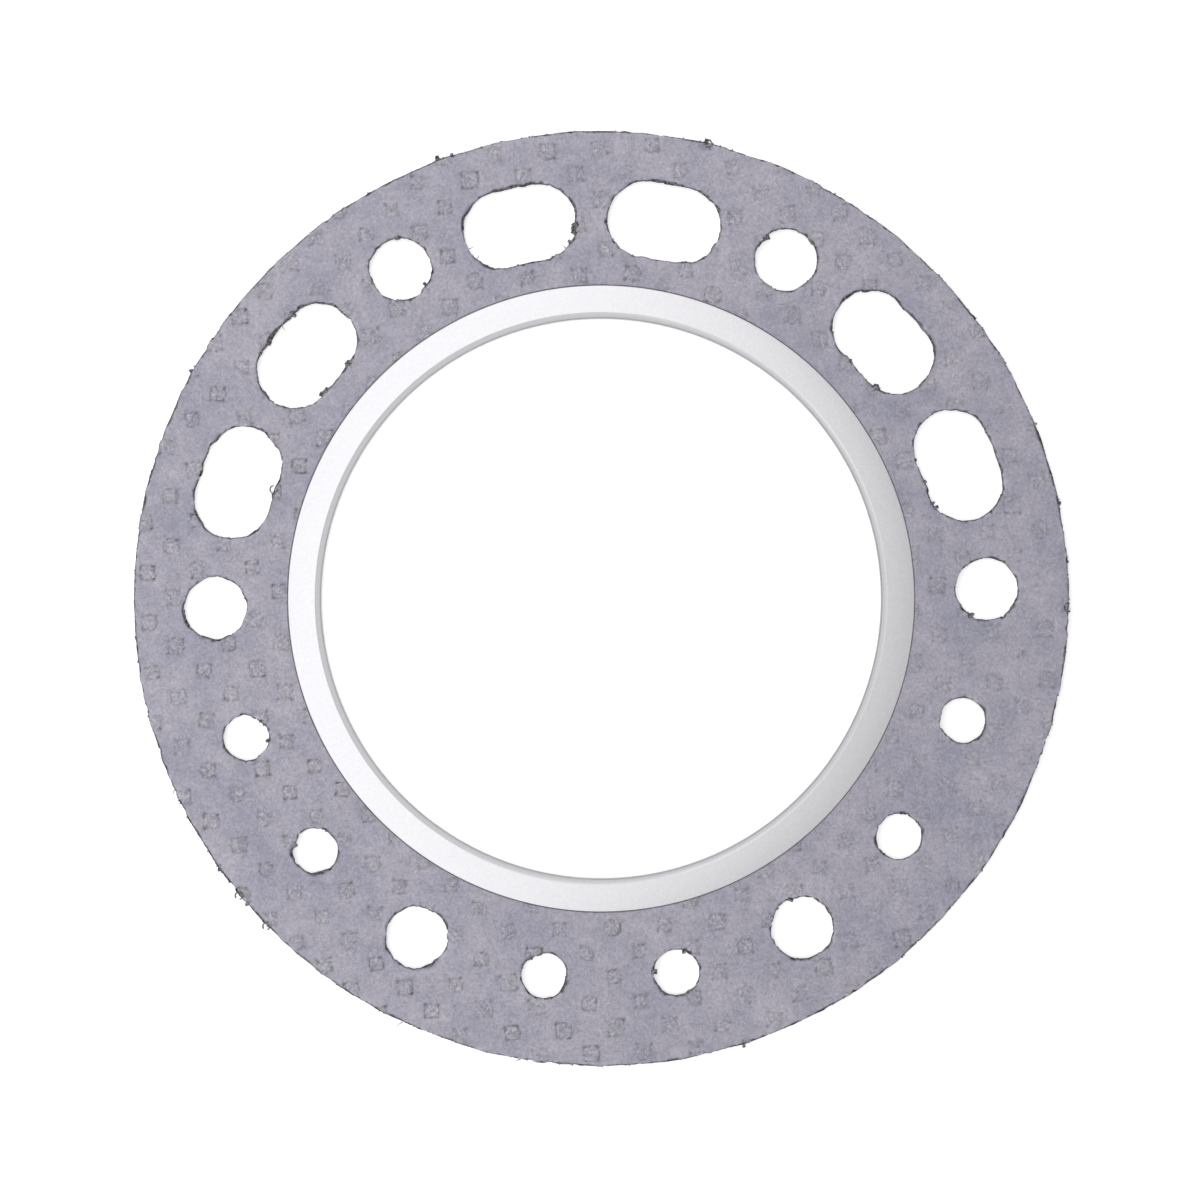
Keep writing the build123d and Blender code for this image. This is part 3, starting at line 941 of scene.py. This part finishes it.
def tinned_steel(finish):
    """Tinned steel strip, pressed: a pale satin that blurs what it reflects, with a fine frosted grain."""
    material, tree, place = new_material("tinned_steel")
    frost = add_node(tree, "ShaderNodeTexNoise", {"Vector": place, "Scale": 1 / (0.6 * MM),
                                                  "Detail": 4}).outputs["Fac"]
    colour = grained(tree, 0.42, tuple(finish.tin), frost, "#4A4A4A", "#D8D8D8")
    bump = add_node(tree, "ShaderNodeBump", {"Strength": 0.7, "Distance": 0.02 * MM,
                                             "Height": frost}).outputs["Normal"]
    shader = add_node(tree, "ShaderNodeBsdfPrincipled", {"Base Color": colour, "Metallic": 1.0,
                                                         "Roughness": 0.29, "Normal": bump})
    add_node(tree, "ShaderNodeOutputMaterial", {"Surface": shader.outputs["BSDF"]})
    return material


def studio_paper():
    """Matte white paper, which looks plain white to the camera and keeps the gasket's shadow."""
    material, tree, _ = new_material("studio_paper")
    paper = add_node(tree, "ShaderNodeBsdfDiffuse", {"Color": linear("#F0F0F0")})
    path = add_node(tree, "ShaderNodeLightPath")
    lift = add_node(tree, "ShaderNodeMath", {0: path.outputs["Is Camera Ray"], 1: PAPER_LIFT},
                    operation="MULTIPLY")
    glow = add_node(tree, "ShaderNodeEmission", {"Strength": lift.outputs[0]})
    both = add_node(tree, "ShaderNodeAddShader", {0: paper.outputs[0], 1: glow.outputs[0]})
    add_node(tree, "ShaderNodeOutputMaterial", {"Surface": both.outputs[0]})
    return material


# ---------------------------------------------------------------- pieces

def finish_piece(bm, name, material, node, crease_angle):
    """Turns a bmesh into a piece that stands for a CAD node and moves with the body."""
    mesh = bpy.data.meshes.new(name)
    for face in bm.faces:
        face.smooth = True
    bm.to_mesh(mesh)
    bm.free()
    mesh.set_sharp_from_angle(angle=crease_angle)
    mesh.materials.append(material)
    piece = bpy.data.objects.new(name, mesh)
    bpy.context.scene.collection.objects.link(piece)
    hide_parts(node)
    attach(piece, "root")
    return piece


class GASKET_OT_facings(bpy.types.Operator):
    """Makes the two pressed fibre facings"""
    bl_idname = "gasket.facings"
    bl_label = "Facings"

    def execute(self, context):
        sizes = context.scene.gasket_sizes
        fibre = pressed_fibre(context.scene.gasket_finish)
        upper = make_facing(sizes, FINE_LINES, upper_high.z, upper_low.z, 1)
        finish_piece(upper, "upper_facing_sheet", fibre, "upper_facing", SHEET_CREASE)
        lower = make_facing(sizes, COARSE_LINES, lower_low.z, lower_high.z, 2)
        finish_piece(lower, "lower_facing_sheet", fibre, "lower_facing", SHEET_CREASE)
        return {"FINISHED"}


class GASKET_OT_core(bpy.types.Operator):
    """Makes the tanged steel core with its torn edges"""
    bl_idname = "gasket.core"
    bl_label = "Core"

    def execute(self, context):
        core = make_core(context.scene.gasket_sizes)
        steel = sheared_steel(context.scene.gasket_finish)
        finish_piece(core, "tanged_core_sheet", steel, "tanged_core", SHEET_CREASE)
        return {"FINISHED"}


class GASKET_OT_fire_ring(bpy.types.Operator):
    """Makes the folded fire ring at the bore"""
    bl_idname = "gasket.fire_ring"
    bl_label = "Fire ring"

    def execute(self, context):
        tin = tinned_steel(context.scene.gasket_finish)
        finish_piece(make_fire_ring(), "fire_ring_eyelet", tin, "fire_ring", FOLD_CREASE)
        return {"FINISHED"}


class GASKET_OT_stage(bpy.types.Operator):
    """Makes the paper floor, the lamps, the white room and the camera"""
    bl_idname = "gasket.stage"
    bl_label = "Stage"

    def execute(self, context):
        stage = context.scene.gasket_stage
        make_floor()
        make_softbox(stage)
        make_keys(stage)
        make_room(stage)
        make_camera(stage)
        context.scene.view_settings.view_transform = "Standard"
        return {"FINISHED"}


def make_floor():
    """A large flat sheet of paper under the gasket."""
    bm = bmesh.new()
    bmesh.ops.create_grid(bm, x_segments=1, y_segments=1, size=FLOOR_REACH)
    mesh = bpy.data.meshes.new("floor")
    bm.to_mesh(mesh)
    bm.free()
    mesh.materials.append(studio_paper())
    floor = bpy.data.objects.new("floor", mesh)
    bpy.context.scene.collection.objects.link(floor)


def make_panel_light(name, size, strength, matrix):
    """A rectangular lamp, whose power follows from its strength and its size."""
    light = bpy.data.lights.new(name, "AREA")
    light.shape = "RECTANGLE"
    light.size, light.size_y = size
    light.energy = strength * pi * size[0] * size[1]
    lamp = bpy.data.objects.new(name, light)
    lamp.matrix_world = matrix
    bpy.context.scene.collection.objects.link(lamp)
    return lamp


def make_softbox(stage):
    """One large softbox overhead, so that the ring runs from near white on its side to grey opposite."""
    middle = polar(stage.softbox_size[0] / 2 - stage.softbox_reach, stage.softbox_azimuth)
    place = Matrix.Translation((*middle, stage.softbox_height))
    make_panel_light("softbox", stage.softbox_size, stage.softbox_strength,
                     place @ Matrix.Rotation(stage.softbox_azimuth, 4, "Z"))


def make_keys(stage):
    """Two lights low on the softbox's side, which bring out the facing's relief but not in the metal."""
    for name, azimuth in KEYS.items():
        place = Matrix.Translation((*polar(KEY_DISTANCE * cos(KEY_ELEVATION), azimuth),
                                    KEY_DISTANCE * sin(KEY_ELEVATION)))
        aimed = Matrix.Rotation(azimuth, 4, "Z") @ Matrix.Rotation(pi / 2 - KEY_ELEVATION, 4, "Y")
        key = make_panel_light(name, KEY_SIZE, stage.key_strength, place @ aimed)
        key.visible_glossy = False


def make_room(stage):
    """A white room that lights evenly, and that the metal sees as grey overhead and dark by the floor."""
    world = bpy.data.worlds.new("white_room")
    world.use_nodes = True
    tree = world.node_tree
    tree.nodes.clear()
    direction = add_node(tree, "ShaderNodeNewGeometry").outputs["Position"]
    height = add_node(tree, "ShaderNodeSeparateXYZ", {0: direction}).outputs["Z"]
    seen = add_node(tree, "ShaderNodeValToRGB", {"Fac": height})
    ramp = seen.color_ramp
    ramp.elements[0].position, ramp.elements[1].position = ROOM_TONES[0][0], ROOM_TONES[-1][0]
    for position, _ in ROOM_TONES[1:-1]:
        ramp.elements.new(position)
    for element, (_, tone) in zip(ramp.elements, ROOM_TONES):
        element.color = (tone, tone, tone, 1)
    path = add_node(tree, "ShaderNodeLightPath")
    even = (stage.room_strength,) * 3 + (1,)
    shown = add_node(tree, "ShaderNodeMix", {SHARE: path.outputs["Is Glossy Ray"], FIRST: even,
                                             SECOND: seen.outputs["Color"]}, data_type="RGBA")
    colour = add_node(tree, "ShaderNodeMix", {SHARE: path.outputs["Is Camera Ray"],
                                              FIRST: shown.outputs[MIXED], SECOND: (1, 1, 1, 1)},
                      data_type="RGBA")
    back = add_node(tree, "ShaderNodeBackground", {"Color": colour.outputs[MIXED], "Strength": 1.0})
    add_node(tree, "ShaderNodeOutputWorld", {"Surface": back.outputs[0]})
    bpy.context.scene.world = world


def make_camera(stage):
    """A camera straight above the gasket."""
    data = bpy.data.cameras.new("camera")
    data.lens = data.sensor_width * stage.camera_height / stage.view_width
    camera = bpy.data.objects.new("camera", data)
    camera.matrix_world = (Matrix.Translation((*CAMERA_OFFSET, stage.camera_height))
                           @ Matrix.Rotation(-stage.camera_turn, 4, "Z"))
    bpy.context.scene.collection.objects.link(camera)
    bpy.context.scene.camera = camera


class GASKET_PT_pieces(bpy.types.Panel):
    """Lists what the gasket is dressed with"""
    bl_label = "Gasket"
    bl_space_type = "VIEW_3D"
    bl_region_type = "UI"
    bl_category = "Gasket"

    def draw(self, context):
        for operator in OPERATORS:
            self.layout.operator(operator.bl_idname)
        for group, kind in GROUPS.items():
            for name in kind.__annotations__:
                self.layout.prop(getattr(context.scene, group), name)


GROUPS = {"gasket_sizes": GasketSizes, "gasket_finish": GasketFinish, "gasket_stage": GasketStage}
OPERATORS = (GASKET_OT_facings, GASKET_OT_core, GASKET_OT_fire_ring, GASKET_OT_stage)
CLASSES = (*GROUPS.values(), *OPERATORS, GASKET_PT_pieces)


def register():
    for item in CLASSES:
        bpy.utils.register_class(item)
    for group, kind in GROUPS.items():
        setattr(bpy.types.Scene, group, PointerProperty(type=kind))


def unregister():
    for group in GROUPS:
        delattr(bpy.types.Scene, group)
    for item in reversed(CLASSES):
        bpy.utils.unregister_class(item)


def main():
    """Registers the classes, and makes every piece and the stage."""
    register()
    bpy.ops.gasket.facings()
    bpy.ops.gasket.core()
    bpy.ops.gasket.fire_ring()
    bpy.ops.gasket.stage()


if __name__ == "__main__":
    main()
